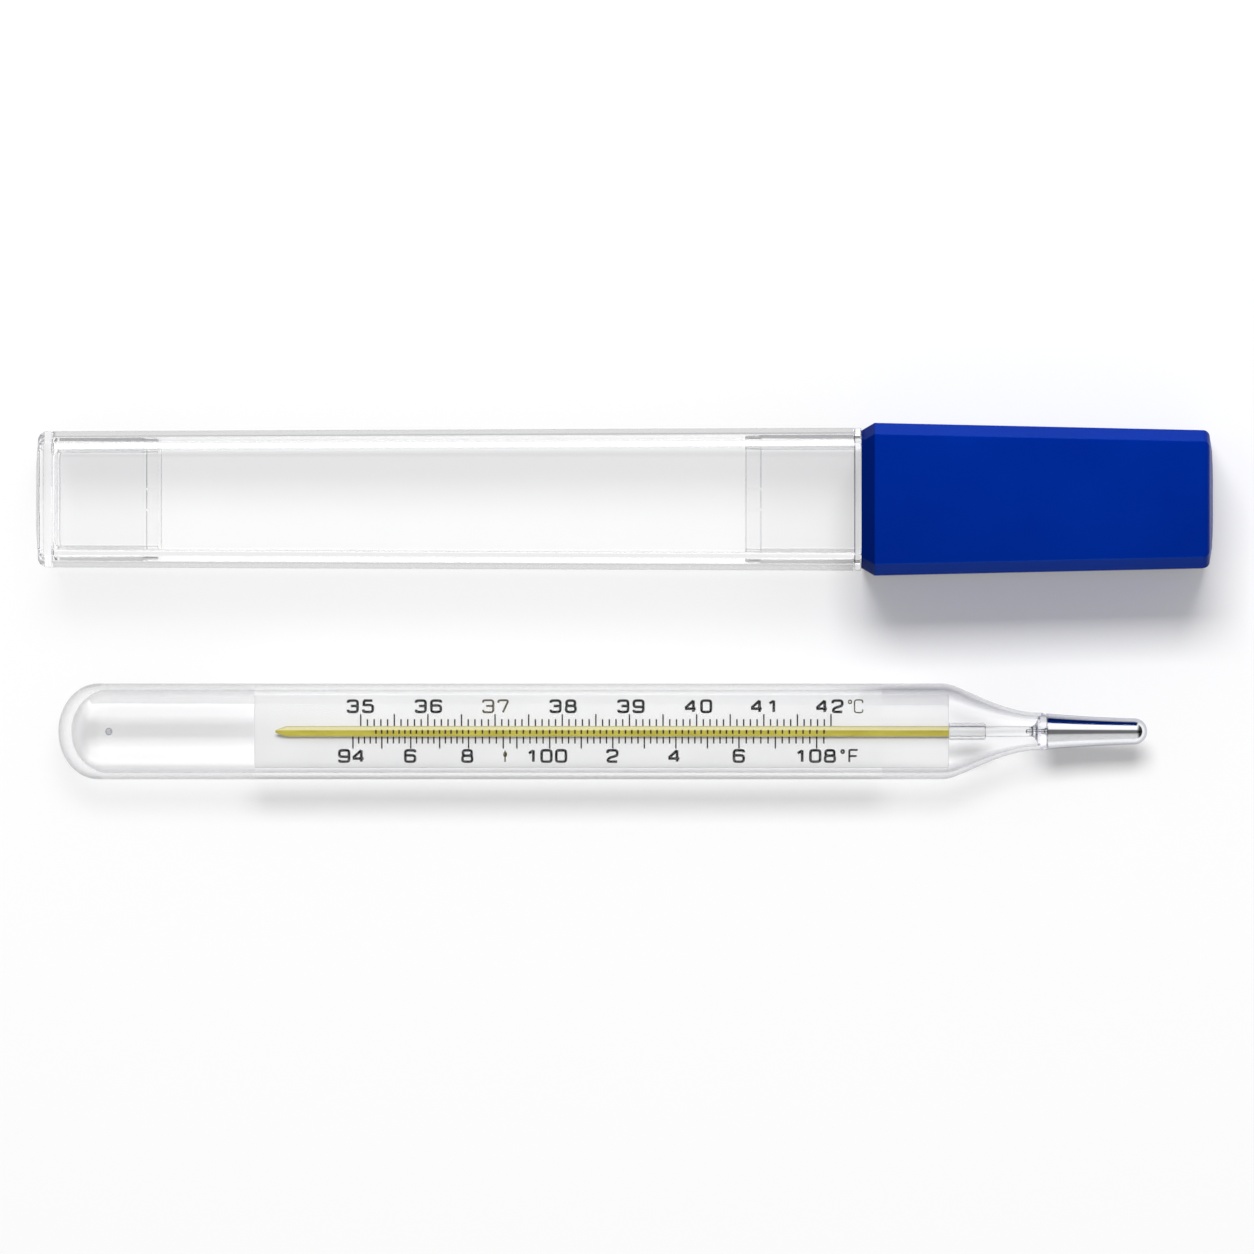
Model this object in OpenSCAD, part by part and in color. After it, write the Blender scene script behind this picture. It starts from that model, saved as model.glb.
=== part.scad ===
// Enclosed-scale clinical mercury thermometer, lying beside its carrying case.
// Both lie along X. Thermometer lengths start at the tip of its dome, case lengths at its plugged end.

/* [Glass sheath] */
// Length of the thermometer, from dome to bulb tip
thermometer_l = 125; // [120:1:132]
// Outer diameter of the sheath
sheath_d = 11; // [10.4:0.1:11.4]
// Wall of the sheath
sheath_wall = 0.7; // [0.5:0.05:0.9]
// Length of the blunt dome
dome_l = 4.6; // [3.6:0.1:6]
// Thickness of the glass at the tip of the dome
dome_wall = 1.2; // [1:0.1:3]
// Diameter of the glass bead left inside the dome where the sheath was sealed
seal_bead_d = 0.8; // [0.5:0.05:1.2]
// Place of the seal bead
seal_bead_at = 5.9; // [5:0.1:9]
// Distance from the bulb tip back to where the shoulder starts
shoulder_back = 23.5; // [21:0.5:26]
// Distance from the bulb tip back to the drawn neck
neck_back = 12.3; // [11.8:0.1:13]
// Outer diameter of the drawn neck
neck_d = 4.3; // [4:0.05:4.8]
// Wall of the sheath at the neck
neck_wall = 0.4; // [0.3:0.05:0.6]

/* [Bulb] */
// Distance from the bulb tip back to the face of the glass weld
weld_back = 11.6; // [11:0.1:11.7]
// Outer diameter of the bulb where it leaves the weld
bulb_base_d = 4.16; // [3.9:0.02:4.4]
// Outer diameter of the bulb at its tip
bulb_tip_d = 3; // [2.6:0.05:3.4]
// Wall of the bulb
bulb_wall = 0.33; // [0.2:0.01:0.5]
// Diameter of the funnel where the mercury leaves the bulb
funnel_d = 0.7; // [0.5:0.05:1]
// Length of the funnel
funnel_l = 0.6; // [0.4:0.05:0.9]

/* [Capillary] */
// Outer diameter of the capillary
capillary_d = 1.26; // [1.2:0.02:1.6]
// Place of the capillary's pointed end
capillary_at = 24.9; // [24:0.1:27]
// Length of the pointed end
capillary_point_l = 1.3; // [0.8:0.1:2]
// Distance from the bulb tip back to the other end of the capillary
capillary_back = 13.5; // [13.2:0.1:14]
// Diameter of the bore
bore_d = 0.4; // [0.34:0.02:0.44]
// Glass left between the pointed end and the bore
bore_stop = 2; // [1.5:0.1:3]
// Thickness of the yellow backing strip
backing_t = 0.14; // [0.1:0.01:0.2]
// Depth of the strip's face under the capillary's axis
backing_depth = 0.27; // [0.25:0.01:0.3]
// Glass left at each side of the strip
backing_edge = 0.05; // [0.03:0.01:0.1]
// Outer diameter of the glass collar at the end of the scale plate
collar_d = 2; // [1.8:0.05:2.4]
// Length of the glass collar
collar_l = 4.2; // [3:0.1:5]

/* [Mercury] */
// Length of the thread that shows in the neck when it is shaken down
thread_l = 1.8; // [1.4:0.1:2.2]
// Gap between the mercury and the glass
mercury_gap = 0.01; // [0.01:0.005:0.02]

/* [Scale plate] */
// Place of the plate's end under the dome
plate_at = 22.5; // [20:0.5:24]
// Gap between the plate's other end and the start of the shoulder
plate_back = -0.6; // [-0.6:0.1:2]
// Width of the plate
plate_w = 8.7; // [8.4:0.05:8.9]
// Thickness of the plate
plate_t = 0.8; // [0.5:0.05:0.9]
// Gap between the plate's lower edges and the sheath
plate_gap = 0.05; // [0.03:0.01:0.1]

/* [Graduations] */
// Place of the 35 degree mark
scale_at = 34.7; // [30:0.1:36]
// Length of one Celsius degree
celsius_pitch = 7.715; // [7:0.005:7.8]
// Number of Celsius degrees on the scale
degrees = 7; // [5:1:7]
// Width of a mark
mark_w = 0.16; // [0.1:0.01:0.2]
// Thickness of the ink
ink_t = 0.04; // [0.03:0.01:0.06]
// Distance from the axis to the near end of a mark
mark_from = 0.6; // [0.4:0.05:0.7]
// Distance from the axis to the far end of a short mark
short_mark_to = 1.41; // [1.2:0.01:1.6]
// Distance from the axis to the far end of a long mark
long_mark_to = 2; // [1.8:0.05:2.2]

/* [Case] */
// Length of the closed case
case_l = 134.75; // [132:0.25:142]
// Width of the tube at the plugged end
tube_plug_w = 15.55; // [15.2:0.05:15.9]
// Width of the tube at the mouth
tube_mouth_w = 16.3; // [16:0.1:16.8]
// Chamfer along the corners of the tube and cap
corner = 1.3; // [1:0.05:1.6]
// Wall of the tube
tube_wall = 1.125; // [1:0.025:1.3]
// Corner cut of the bore of the tube and of what fits in it
bore_corner = 1; // [0.7:0.05:1.2]
// Thickness of the end plug's flange
plug_flange_t = 1.95; // [1.6:0.05:2.4]
// Chamfer round the outer edge of the plug's flange
flange_edge = 0.8; // [0.4:0.05:1]
// Rise of the crowned end of the plug
plug_crown = 0.3; // [0.2:0.05:0.4]
// Length of the plug's sleeve, pressed into the tube
plug_sleeve_l = 12.15; // [9:0.05:14]
// Thickness of the neck's flange
neck_flange_t = 0.8; // [0.6:0.05:1.5]
// Length of the neck's sleeve, pressed into the tube
neck_sleeve_l = 12.5; // [9:0.1:14]
// Wall of the sleeves
sleeve_wall = 0.55; // [0.45:0.05:0.6]
// Gap between the sleeves and the bore of the tube
sleeve_gap = 0.03; // [0.02:0.01:0.05]
// Length of the thin lip at the end of each sleeve
lip_l = 1.8; // [1:0.1:3]
// Depth of the step outside the lip
lip_step = 0.15; // [0.1:0.05:0.2]
// Distance of the crush ribs on each side of the lip from its middle
lip_rib_at = 1.2; // [0.8:0.1:4]
// Width of a lip rib
lip_rib_w = 0.2; // [0.15:0.05:0.4]
// Distance of a lip rib's top from the full width of the sleeve
lip_rib_inset = 0.03; // [0.02:0.01:0.05]
// Width of the recess in the end face of the plug
gate_w = 3; // [2:0.1:5]
// Height of the recess in the end face of the plug
gate_h = 6; // [4:0.5:9]
// Depth of the recess in the end face of the plug
gate_depth = 1.2; // [0.6:0.1:1.3]

/* [Cap] */
// Length of the cap
cap_l = 40.25; // [36:0.25:46]
// Width of the cap's rim, at the foot of its bevel
cap_rim_w = 15.7; // [15.4:0.05:16]
// Width of the cap at the top of the bevel
cap_mouth_w = 17.45; // [17.2:0.05:18]
// Length of the bevel at the mouth
cap_bevel_l = 1.5; // [1:0.1:2.5]
// Width of the cap at its end
cap_end_w = 15.8; // [15.5:0.1:16.4]
// Width of the cap's bore at its closed end
cap_bore_end_w = 12.9; // [12.6:0.1:13.4]
// Thickness of the closed end
cap_floor = 1.8; // [1.4:0.1:2.4]
// Radius round the closed end
cap_round = 0.8; // [0.5:0.1:1]
// Rise of the crowned closed end
cap_crown = 0.4; // [0.2:0.05:0.5]
// Length of the spigot that the cap slides on
spigot_l = 12; // [8:0.5:16]
// Gap between the spigot and the cap, on each side
cap_gap = 0.06; // [0.03:0.01:0.1]

/* [Layout] */
// Distance between the axis of the case and the axis of the thermometer
row_pitch = 26.6; // [20:0.1:60]
// Distance from the plugged end of the case to the tip of the dome, along X
dome_from_plug = 2.35; // [0:0.05:6]

/* [Hidden] */
$fn = 96;
curve_steps = 14;
cut = 0.01;
// Length of each lip rib that is sunk in the thicker wall
lip_rib_root = 0.3;

sheath_r = sheath_d / 2;
sheath_bore_r = sheath_r - sheath_wall;
neck_r = neck_d / 2;
neck_bore_r = neck_r - neck_wall;
shoulder_at = thermometer_l - shoulder_back;
neck_at = thermometer_l - neck_back;
weld_at = thermometer_l - weld_back;
capillary_end = thermometer_l - capillary_back;
bulb_base_r = bulb_base_d / 2;
bulb_tip_r = bulb_tip_d / 2;
capillary_r = capillary_d / 2;
bore_r = bore_d / 2;
bore_at = capillary_at + bore_stop;
plate_end = shoulder_at - plate_back;
// The plate sinks until its lower edges meet the round bore of the sheath
plate_bottom = -sqrt(pow(sheath_bore_r - plate_gap, 2) - pow(plate_w / 2, 2));
plate_top = plate_bottom + plate_t;
// A Fahrenheit row as printed: where each run starts, in Celsius degrees past the first mark, and its divisions
fahrenheit_runs = [[-0.116, 20], [1.605, 5], [2.122, 2], [2.324, 5], [2.813, 30], [5.63, 5], [6.172, 6], [6.787, 1]];
fahrenheit_end = 6.893;
divisions = 10;
long_every = 5;

tube_l = case_l - cap_l - plug_flange_t - neck_flange_t;
tube_end = plug_flange_t + tube_l;
cap_at = tube_end + neck_flange_t;
bore_plug_w = tube_plug_w - 2 * tube_wall;
bore_mouth_w = tube_mouth_w - 2 * tube_wall;
plug_sleeve_w = bore_plug_w - 2 * sleeve_gap;
// The neck's sleeve clears the bore where the bore is narrowest, at the end of its lip
neck_sleeve_w = bore_mouth_w - (bore_mouth_w - bore_plug_w) * neck_sleeve_l / tube_l - 2 * sleeve_gap;
cap_bore_w = neck_sleeve_w + 2 * cap_gap;
sleeve_corner = bore_corner - sleeve_wall / 2;
// The case lies on the edge of its plug and on the bevelled rim of its cap, so its axis rises towards the cap
plug_rest_at = plug_crown + flange_edge;
rest_run = cap_at + cap_bevel_l - plug_rest_at;
rest_rise = (cap_mouth_w - tube_plug_w) / 2;
rest_tilt = atan(rest_rise / rest_run);
case_x = -case_l * cos(rest_tilt) / 2;
case_z = tube_plug_w / 2 * cos(rest_tilt) - plug_rest_at * sin(rest_tilt);
layout_y = (sheath_r - cap_mouth_w / 2) / 2;
case_y = row_pitch / 2 + layout_y;
thermometer_x = case_x + dome_from_plug;
thermometer_y = layout_y - row_pitch / 2;

// A point on a cubic curve with end points a and d
function bezier(a, b, c, d, u) =
    pow(1 - u, 3) * a + 3 * u * pow(1 - u, 2) * b + 3 * u * u * (1 - u) * c + pow(u, 3) * d;
function curve(a, b, c, d) = [for (i = [0:curve_steps]) bezier(a, b, c, d, i / curve_steps)];
// A quarter ellipse from the axis at `tip` out to radius r, as [radius, length] points
function dome_points(r, tip, l) =
    [for (i = [0:curve_steps]) [r * sin(90 * i / curve_steps), tip + l * (1 - cos(90 * i / curve_steps))]];
// The S shape of the shoulder, which leaves the cylinder and reaches the neck along X
function shoulder_points(r, end_r) =
    let (run = neck_at - shoulder_at)
        curve([r, shoulder_at], [r, shoulder_at + 0.19 * run], [end_r, shoulder_at + 0.57 * run], [end_r, neck_at]);
// Outside of the bulb, or of the mercury in it when `inset` is more than 0
function bulb_points(inset) =
    let (tip = bulb_tip_r - inset, tip_at = thermometer_l - bulb_tip_r, run = tip_at - weld_at,
         taper = bulb_base_r - bulb_tip_r)
        concat(
            curve([bulb_base_r - inset, weld_at], [bulb_base_r - 0.48 * taper - inset, weld_at + 0.3 * run],
                  [tip + 0.17 * taper, weld_at + 0.65 * run], [tip, tip_at]),
            [for (i = [1:curve_steps]) [tip * cos(90 * i / curve_steps), tip_at + tip * sin(90 * i / curve_steps)]]);

// Turns and places what is built along Z so that it lies along X
module on_thermometer() translate([thermometer_x, thermometer_y, sheath_r]) rotate([0, 90, 0]) children();
module on_case() translate([case_x, case_y, case_z]) rotate([0, -rest_tilt, 0]) rotate([0, 90, 0]) children();
module lathe(points) rotate_extrude() polygon(points);
module at(z) translate([0, 0, z]) children();
function backwards(points) = [for (i = [len(points) - 1:-1:0]) points[i]];

// Outer glass: a thin tube domed at one end and drawn down to a neck at the other
module sheath() color([0.93, 0.95, 0.96, 0.35]) on_thermometer()
    lathe(concat(
        dome_points(sheath_r, 0, dome_l),
        shoulder_points(sheath_r, neck_r),
        backwards(shoulder_points(sheath_bore_r, neck_bore_r)),
        backwards(dome_points(sheath_bore_r, dome_wall, dome_l + sheath_wall - dome_wall))));

// Droplet of glass on the upper inside of the sheath
module seal_bead() color([0.9, 0.92, 0.94, 0.5]) on_thermometer()
    translate([-(sheath_bore_r - seal_bead_d / 2 - mercury_gap), 0, seal_bead_at]) sphere(d = seal_bead_d);

// White strip behind the capillary that carries the scale
module scale_plate() color([0.93, 0.93, 0.94]) on_thermometer()
    translate([-plate_top, -plate_w / 2, plate_at]) cube([plate_t, plate_w, plate_end - plate_at]);

// One printed line on the plate, on the side of the axis that `side` gives
module mark(x, to, side)
    translate([-plate_top - ink_t, side > 0 ? mark_from : -to, x - mark_w / 2])
        cube([ink_t, to - mark_from, mark_w]);
function mark_to(is_long) = is_long ? long_mark_to : short_mark_to;

module celsius_graduations() color([0.12, 0.13, 0.14]) on_thermometer()
    for (i = [0:degrees * divisions])
        mark(scale_at + i * celsius_pitch / divisions, mark_to(i % long_every == 0), 1);

module fahrenheit_graduations() color([0.12, 0.13, 0.14]) on_thermometer() {
    for (k = [0:len(fahrenheit_runs) - 1]) {
        start = fahrenheit_runs[k][0];
        count = fahrenheit_runs[k][1];
        end = k + 1 < len(fahrenheit_runs) ? fahrenheit_runs[k + 1][0] : fahrenheit_end;
        for (j = [0:count - 1])
            mark(scale_at + (start + (end - start) * j / count) * celsius_pitch * degrees / 7,
                 mark_to(j % long_every == 0 && (count % long_every == 0 || j == 0)), -1);
    }
    mark(scale_at + fahrenheit_end * celsius_pitch * degrees / 7, short_mark_to, -1);
}

// Shape of the backing strip, and of the slot that holds it
module backing_strip() {
    low = backing_depth + backing_t;
    width = 2 * (sqrt(pow(capillary_r, 2) - pow(low, 2)) - backing_edge);
    translate([backing_depth, -width / 2, capillary_at + capillary_point_l])
        cube([backing_t, width, plate_end - capillary_at - capillary_point_l]);
}

// Round glass rod with a fine bore, closed and pointed at one end
module capillary_tube() color([0.92, 0.95, 0.97, 0.4]) on_thermometer()
    difference() {
        union() {
            at(capillary_at) cylinder(h = capillary_point_l, r1 = bore_r, r2 = capillary_r);
            at(capillary_at + capillary_point_l)
                cylinder(h = capillary_end - capillary_at - capillary_point_l, r = capillary_r);
        }
        at(bore_at) cylinder(h = capillary_end - bore_at + cut, r = bore_r, $fn = 32);
        backing_strip();
    }

// Yellow enamel strip fused into the back of the capillary
module capillary_backing() color([0.78, 0.72, 0.32]) on_thermometer() backing_strip();

// Short glass sleeve that butts on the plate and centres the capillary
module capillary_collar() color([0.9, 0.93, 0.95, 0.4]) on_thermometer()
    at(plate_end + mercury_gap) difference() {
        cylinder(h = collar_l, d = collar_d);
        at(-cut) cylinder(h = collar_l + 2 * cut, r = capillary_r + mercury_gap);
    }

// Bead of glass that joins sheath, capillary and bulb, pierced for the mercury
module neck_weld() color([0.86, 0.9, 0.93, 0.5]) on_thermometer() {
    plug_r = neck_bore_r - mercury_gap;
    flare_l = (neck_at - capillary_end) * 0.75;
    lathe(concat(
        [[bore_r, capillary_end]],
        [for (i = [0:curve_steps])
            [capillary_r * 0.9 + (plug_r - capillary_r * 0.9) * (1 - cos(90 * i / curve_steps)),
             capillary_end + flare_l * sin(90 * i / curve_steps)]],
        [[plug_r, neck_at], [neck_r, neck_at], [bulb_base_r, weld_at],
         [funnel_d / 2, weld_at], [bore_r, weld_at - funnel_l]]));
}

// Thin closed tube that holds the mercury
module bulb_glass() color([0.86, 0.9, 0.93, 0.4]) on_thermometer()
    lathe(concat(bulb_points(0), backwards(bulb_points(bulb_wall))));

// Mercury that fills the bulb, with a nose in the funnel
module mercury_reservoir() color([0.6, 0.61, 0.64]) on_thermometer()
    lathe(concat(
        [[0, weld_at - funnel_l + mercury_gap], [bore_r - mercury_gap, weld_at - funnel_l + mercury_gap],
         [funnel_d / 2 - mercury_gap, weld_at + mercury_gap]],
        [for (p = bulb_points(bulb_wall + mercury_gap)) [max(p[0], 0), max(p[1], weld_at + mercury_gap)]]));

// Mercury in the bore, shaken down: its round end faces the scale
module mercury_thread() color([0.6, 0.61, 0.64]) on_thermometer() {
    thread_r = bore_r - mercury_gap;
    thread_end = weld_at - funnel_l;
    tip_at = thread_end - thread_l;
    at(tip_at + thread_r) cylinder(h = thread_l - thread_r, r = thread_r, $fn = 32);
    at(tip_at + thread_r) sphere(r = thread_r, $fn = 32);
}

// Corners of a square of width w with its four corners cut by c
function octagon(w, z, c) =
    let (h = w / 2, s = h - c)
        [[h, -s, z], [h, s, z], [s, h, z], [-s, h, z], [-h, s, z], [-h, -s, z], [-s, -h, z], [s, -h, z]];
// Solid through a row of such squares, each given as [length, width]
module prism(rings, c = corner) {
    n = len(rings);
    polyhedron(
        points = [for (r = rings) each octagon(r[1], r[0], c)],
        faces = concat(
            [[for (i = [0:7]) i], [for (i = [7:-1:0]) (n - 1) * 8 + i]],
            [for (k = [0:n - 2]) for (i = [0:7])
                [k * 8 + i, (k + 1) * 8 + i, (k + 1) * 8 + (i + 1) % 8, k * 8 + (i + 1) % 8]]));
}
// Bar of one width from `from` to `to`, for straight sleeves and bores
module bar(w, from, to, c) prism([[from, w], [to, w]], c);

// Clear square tube with a square bore, a little wider towards its mouth
module case_tube() color([0.9, 0.92, 0.94, 0.35]) on_case()
    difference() {
        prism([[plug_flange_t, tube_plug_w], [tube_end, tube_mouth_w]]);
        prism([[plug_flange_t - cut, bore_plug_w], [tube_end + cut, bore_mouth_w]], bore_corner);
    }

// Square sleeve whose last stretch is a thinner lip with two crush ribs on each side
module sleeve(w, l) {
    lip_w = w - 2 * lip_step;
    difference() {
        union() {
            bar(w, 0, l - lip_l, bore_corner);
            bar(lip_w, 0, l, bore_corner);
            for (turn = [0:90:270])
                for (side = [-1, 1])
                    rotate([0, 0, turn])
                        translate([lip_w / 2 - sleeve_wall / 3, side * lip_rib_at - lip_rib_w / 2,
                                   l - lip_l - lip_rib_root])
                            cube([sleeve_wall / 3 + lip_step - lip_rib_inset, lip_rib_w, lip_l * 0.8 + lip_rib_root]);
        }
        bar(w - 2 * sleeve_wall, -cut, l + cut, sleeve_corner);
    }
}

// Clear plug that closes one end: a flange outside and a sleeve pressed into the bore
module case_end_plug() color([0.9, 0.92, 0.94, 0.4]) on_case()
    difference() {
        union() {
            prism([[0, tube_plug_w * 0.55], [plug_crown, tube_plug_w - 2 * flange_edge],
                   [plug_rest_at, tube_plug_w], [plug_flange_t, tube_plug_w]]);
            at(plug_flange_t) sleeve(plug_sleeve_w, plug_sleeve_l);
        }
        translate([-gate_h / 2, -gate_w / 2, -cut]) cube([gate_h, gate_w, gate_depth + cut]);
    }

// Clear neck: a sleeve pressed into the tube, a flange, and the spigot that takes the cap
module case_neck() color([0.9, 0.92, 0.94, 0.4]) on_case() {
    at(tube_end) mirror([0, 0, 1]) sleeve(neck_sleeve_w, neck_sleeve_l);
    difference() {
        union() {
            bar(tube_mouth_w, tube_end, cap_at, corner);
            bar(neck_sleeve_w, tube_end, cap_at + spigot_l, bore_corner);
        }
        bar(neck_sleeve_w - 2 * sleeve_wall, tube_end - cut, cap_at + spigot_l + cut, sleeve_corner);
    }
}

// Blue cap: bevelled at the mouth, narrower towards its closed end, that slides off the spigot
module case_cap() color([0.0, 0.16, 0.58]) on_case() {
    round_at = cap_l - cap_round - cap_crown;
    steps = 5;
    at(cap_at) difference() {
        prism(concat(
            [[0, cap_rim_w], [cap_bevel_l, cap_mouth_w]],
            [for (i = [0:steps])
                [round_at + cap_round * sin(90 * i / steps),
                 cap_end_w - 2 * cap_round * (1 - cos(90 * i / steps))]],
            [[cap_l, cap_end_w * 0.5]]));
        prism([[-cut, cap_bore_w], [spigot_l + cap_bevel_l, cap_bore_w], [cap_l - cap_floor, cap_bore_end_w]],
              bore_corner);
    }
}

sheath();
seal_bead();
scale_plate();
celsius_graduations();
fahrenheit_graduations();
capillary_tube();
capillary_backing();
capillary_collar();
neck_weld();
bulb_glass();
mercury_reservoir();
mercury_thread();
case_tube();
case_end_plug();
case_neck();
case_cap();
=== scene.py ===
import math

import bpy
import numpy as np
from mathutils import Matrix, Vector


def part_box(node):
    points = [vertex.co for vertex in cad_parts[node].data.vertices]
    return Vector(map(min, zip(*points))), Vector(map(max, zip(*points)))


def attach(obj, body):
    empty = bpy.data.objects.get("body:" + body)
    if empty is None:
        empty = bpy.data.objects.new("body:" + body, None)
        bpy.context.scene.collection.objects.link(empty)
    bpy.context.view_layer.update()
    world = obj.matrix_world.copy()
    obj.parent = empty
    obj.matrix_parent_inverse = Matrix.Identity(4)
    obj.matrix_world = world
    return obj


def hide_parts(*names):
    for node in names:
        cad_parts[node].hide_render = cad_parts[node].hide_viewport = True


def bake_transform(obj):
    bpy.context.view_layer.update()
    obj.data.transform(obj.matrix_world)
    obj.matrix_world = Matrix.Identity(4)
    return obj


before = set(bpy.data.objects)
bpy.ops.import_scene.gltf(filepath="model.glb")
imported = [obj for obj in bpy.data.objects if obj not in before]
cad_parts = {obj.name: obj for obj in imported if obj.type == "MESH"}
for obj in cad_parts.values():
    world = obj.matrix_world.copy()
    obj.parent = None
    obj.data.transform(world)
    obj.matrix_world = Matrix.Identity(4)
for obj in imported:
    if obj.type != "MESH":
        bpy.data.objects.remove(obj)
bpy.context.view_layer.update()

# The table and the camera. The pair lies on a wide white table and is looked at from straight above through a long
# lens, so that both pieces show without perspective.
view_width = 0.14387
view_distance = 2.5
view_centre = (0.000258, -0.00293, 0.007)
camera = bpy.data.objects.new("camera", bpy.data.cameras.new("camera"))
camera.location = (view_centre[0], view_centre[1], view_centre[2] + view_distance)
camera.data.lens = camera.data.sensor_width * view_distance / view_width
camera.data.clip_start = 0.5
camera.data.clip_end = 10
bpy.context.scene.collection.objects.link(camera)
bpy.context.scene.camera = camera
bpy.context.scene.view_settings.view_transform = "Standard"


def join(given, socket):
    """What a socket takes: a number, a colour, or the (node, output) that feeds it."""
    if isinstance(given, tuple) and isinstance(given[0], bpy.types.Node):
        socket.id_data.links.new(given[0].outputs[given[1]], socket)
    else:
        socket.default_value = given


def put(node, **values):
    """The node, after it has been given settings and inputs by name, with a low line for each space in a name."""
    for name, value in values.items():
        if hasattr(node, name):
            setattr(node, name, value)
        else:
            join(value, node.inputs[name.replace("_", " ")])
    return node


def add(tree, kind, **values):
    """A new node of that kind, with its settings and inputs."""
    return put(tree.nodes.new(kind), **values)


def maths(tree, operation, one, other=0.0):
    """The outcome of a calculation with two values, each a number or a (node, output)."""
    made = add(tree, "ShaderNodeMath", operation=operation)
    join(one, made.inputs[0])
    join(other, made.inputs[1])
    return made, "Value"


def on_piece(tree):
    """Where a ray meets the piece, in the piece's own coordinates."""
    return add(tree, "ShaderNodeTexCoord"), "Object"


def blank(name):
    """A material, with its node tree and its Principled shader."""
    made = bpy.data.materials.new(name)
    made.use_nodes = True
    return made, made.node_tree, made.node_tree.nodes["Principled BSDF"]


half_table = 3
table_mesh = bpy.data.meshes.new("table")
table_mesh.from_pydata([(x * half_table, y * half_table, 0) for x, y in ((-1, -1), (1, -1), (1, 1), (-1, 1))], [],
                       [(0, 1, 2, 3)])
table = bpy.data.objects.new("table", table_mesh)
bpy.context.scene.collection.objects.link(table)

# Where the camera sees the table, straight or through glass, the white paint glows a little, so that it comes out as
# even as in the photo. Further off, where less of the soft box's light arrives, it glows more.
glow_straight, glow_through = 0.222, 0.31
table_paint, tree, shader = blank("white_table")
path = add(tree, "ShaderNodeLightPath")
straight, through = (path, "Is Camera Ray"), (path, "Is Transmission Ray")
away = add(tree, "ShaderNodeVectorMath", operation="LENGTH", Vector=on_piece(tree))
far = add(tree, "ShaderNodeMapRange", Value=(away, "Value"), From_Min=0.2, From_Max=1.0, To_Max=0.5)
near_glow = maths(tree, "MAXIMUM", maths(tree, "MULTIPLY", straight, glow_straight),
                  maths(tree, "MULTIPLY", through, glow_through))
far_glow = maths(tree, "MULTIPLY", maths(tree, "MAXIMUM", straight, through), (far, "Result"))
put(shader, Base_Color=(0.8, 0.8, 0.802, 1), Roughness=0.7, Specular_IOR_Level=0.0, Emission_Color=(1, 1, 1, 1),
    Emission_Strength=maths(tree, "ADD", near_glow, far_glow))
table_mesh.materials.append(table_paint)

# The light. One soft box hangs a little north of overhead, and the room gives the rest. What glass and metal mirror is
# the room as a photographer dresses it: white boards north and south of the table, a dark gap straight above, where
# the camera hangs, and less light towards the two ends.
room = bpy.data.worlds.new("room")
bpy.context.scene.world = room
room.use_nodes = True
tree = room.node_tree
sky = add(tree, "ShaderNodeTexCoord")
split = add(tree, "ShaderNodeSeparateXYZ", Vector=(sky, "Generated"))
lean = maths(tree, "ARCTAN2", (split, "Y"), (split, "Z"))
turn = add(tree, "ShaderNodeMapRange", Value=lean, From_Min=-math.pi / 2, From_Max=math.pi / 2)


def ramp(tree, given, *stops):
    """A colour ramp, fed by a (node, output), through stops of (position, colour) in rising order."""
    made = add(tree, "ShaderNodeValToRGB", Fac=given)
    points = made.color_ramp.elements
    while len(points) < len(stops):
        points.new(0.5)
    for point, (place, shade) in zip(points, stops):
        point.position, point.color = place, (*shade, 1)
    return made, "Color"


def by_angle(*stops):
    """A ramp of grey over the room, through stops of (degrees north of straight up, strength)."""
    return ramp(tree, (turn, "Result"), *[((degrees + 90) / 180, (strength,) * 3) for degrees, strength in stops])


def mix(tree, blend, factor, one, other):
    """A mix of two colours. They and the factor are each a value or a (node, output)."""
    made = add(tree, "ShaderNodeMix", data_type="RGBA", blend_type=blend)
    for socket, given in ((0, factor), (6, one), (7, other)):
        join(given, made.inputs[socket])
    return made, 2


# `walls` lights dull surfaces, `boards` is what is mirrored, and `beyond` is what is seen through clear pieces.
walls = by_angle((-90, 0.05), (0, 0.35), (90, 0.4))
boards = by_angle((-90, 0.35), (-74, 0.9), (-42, 0.9), (-24, 0.4), (-11, 0.02), (16, 0.02), (30, 0.5), (40, 0.95),
                  (84, 0.95), (90, 0.35))
beyond = by_angle((-80, 0.6), (-28, 0.6), (-17, 0.17), (10, 0.17), (19, 1.16), (64, 1.16), (82, 0.96))
mirror_gain = 5.4
white = (0.88, 0.88, 0.885, 1)
ends = add(tree, "ShaderNodeMapRange", Value=maths(tree, "ABSOLUTE", (split, "X")), From_Min=0.35, From_Max=0.75,
           To_Min=1.2, To_Max=0.05)
bulb_end = add(tree, "ShaderNodeMapRange", Value=(split, "X"), From_Min=0.4, From_Max=0.75, To_Min=1, To_Max=0.05)
dome_end = add(tree, "ShaderNodeMapRange", Value=(split, "X"), From_Min=-0.35, From_Max=-0.75, To_Min=1, To_Max=0.45)
horizon = add(tree, "ShaderNodeMapRange", Value=(split, "Z"), From_Min=0.24, From_Max=0.1)
mirrored = mix(tree, "MULTIPLY", 1, boards, maths(tree, "MULTIPLY", (ends, "Result"), mirror_gain))
refracted = mix(tree, "MULTIPLY", 1, mix(tree, "MIX", (horizon, "Result"), beyond, white),
                maths(tree, "MULTIPLY", (bulb_end, "Result"), (dome_end, "Result")))
path = add(tree, "ShaderNodeLightPath")
lit = mix(tree, "MIX", (path, "Is Glossy Ray"), walls, mirrored)
lit = mix(tree, "MIX", (path, "Is Transmission Ray"), lit, refracted)
lit = mix(tree, "MIX", (path, "Is Camera Ray"), lit, white)
put(tree.nodes["Background"], Color=lit)

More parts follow.
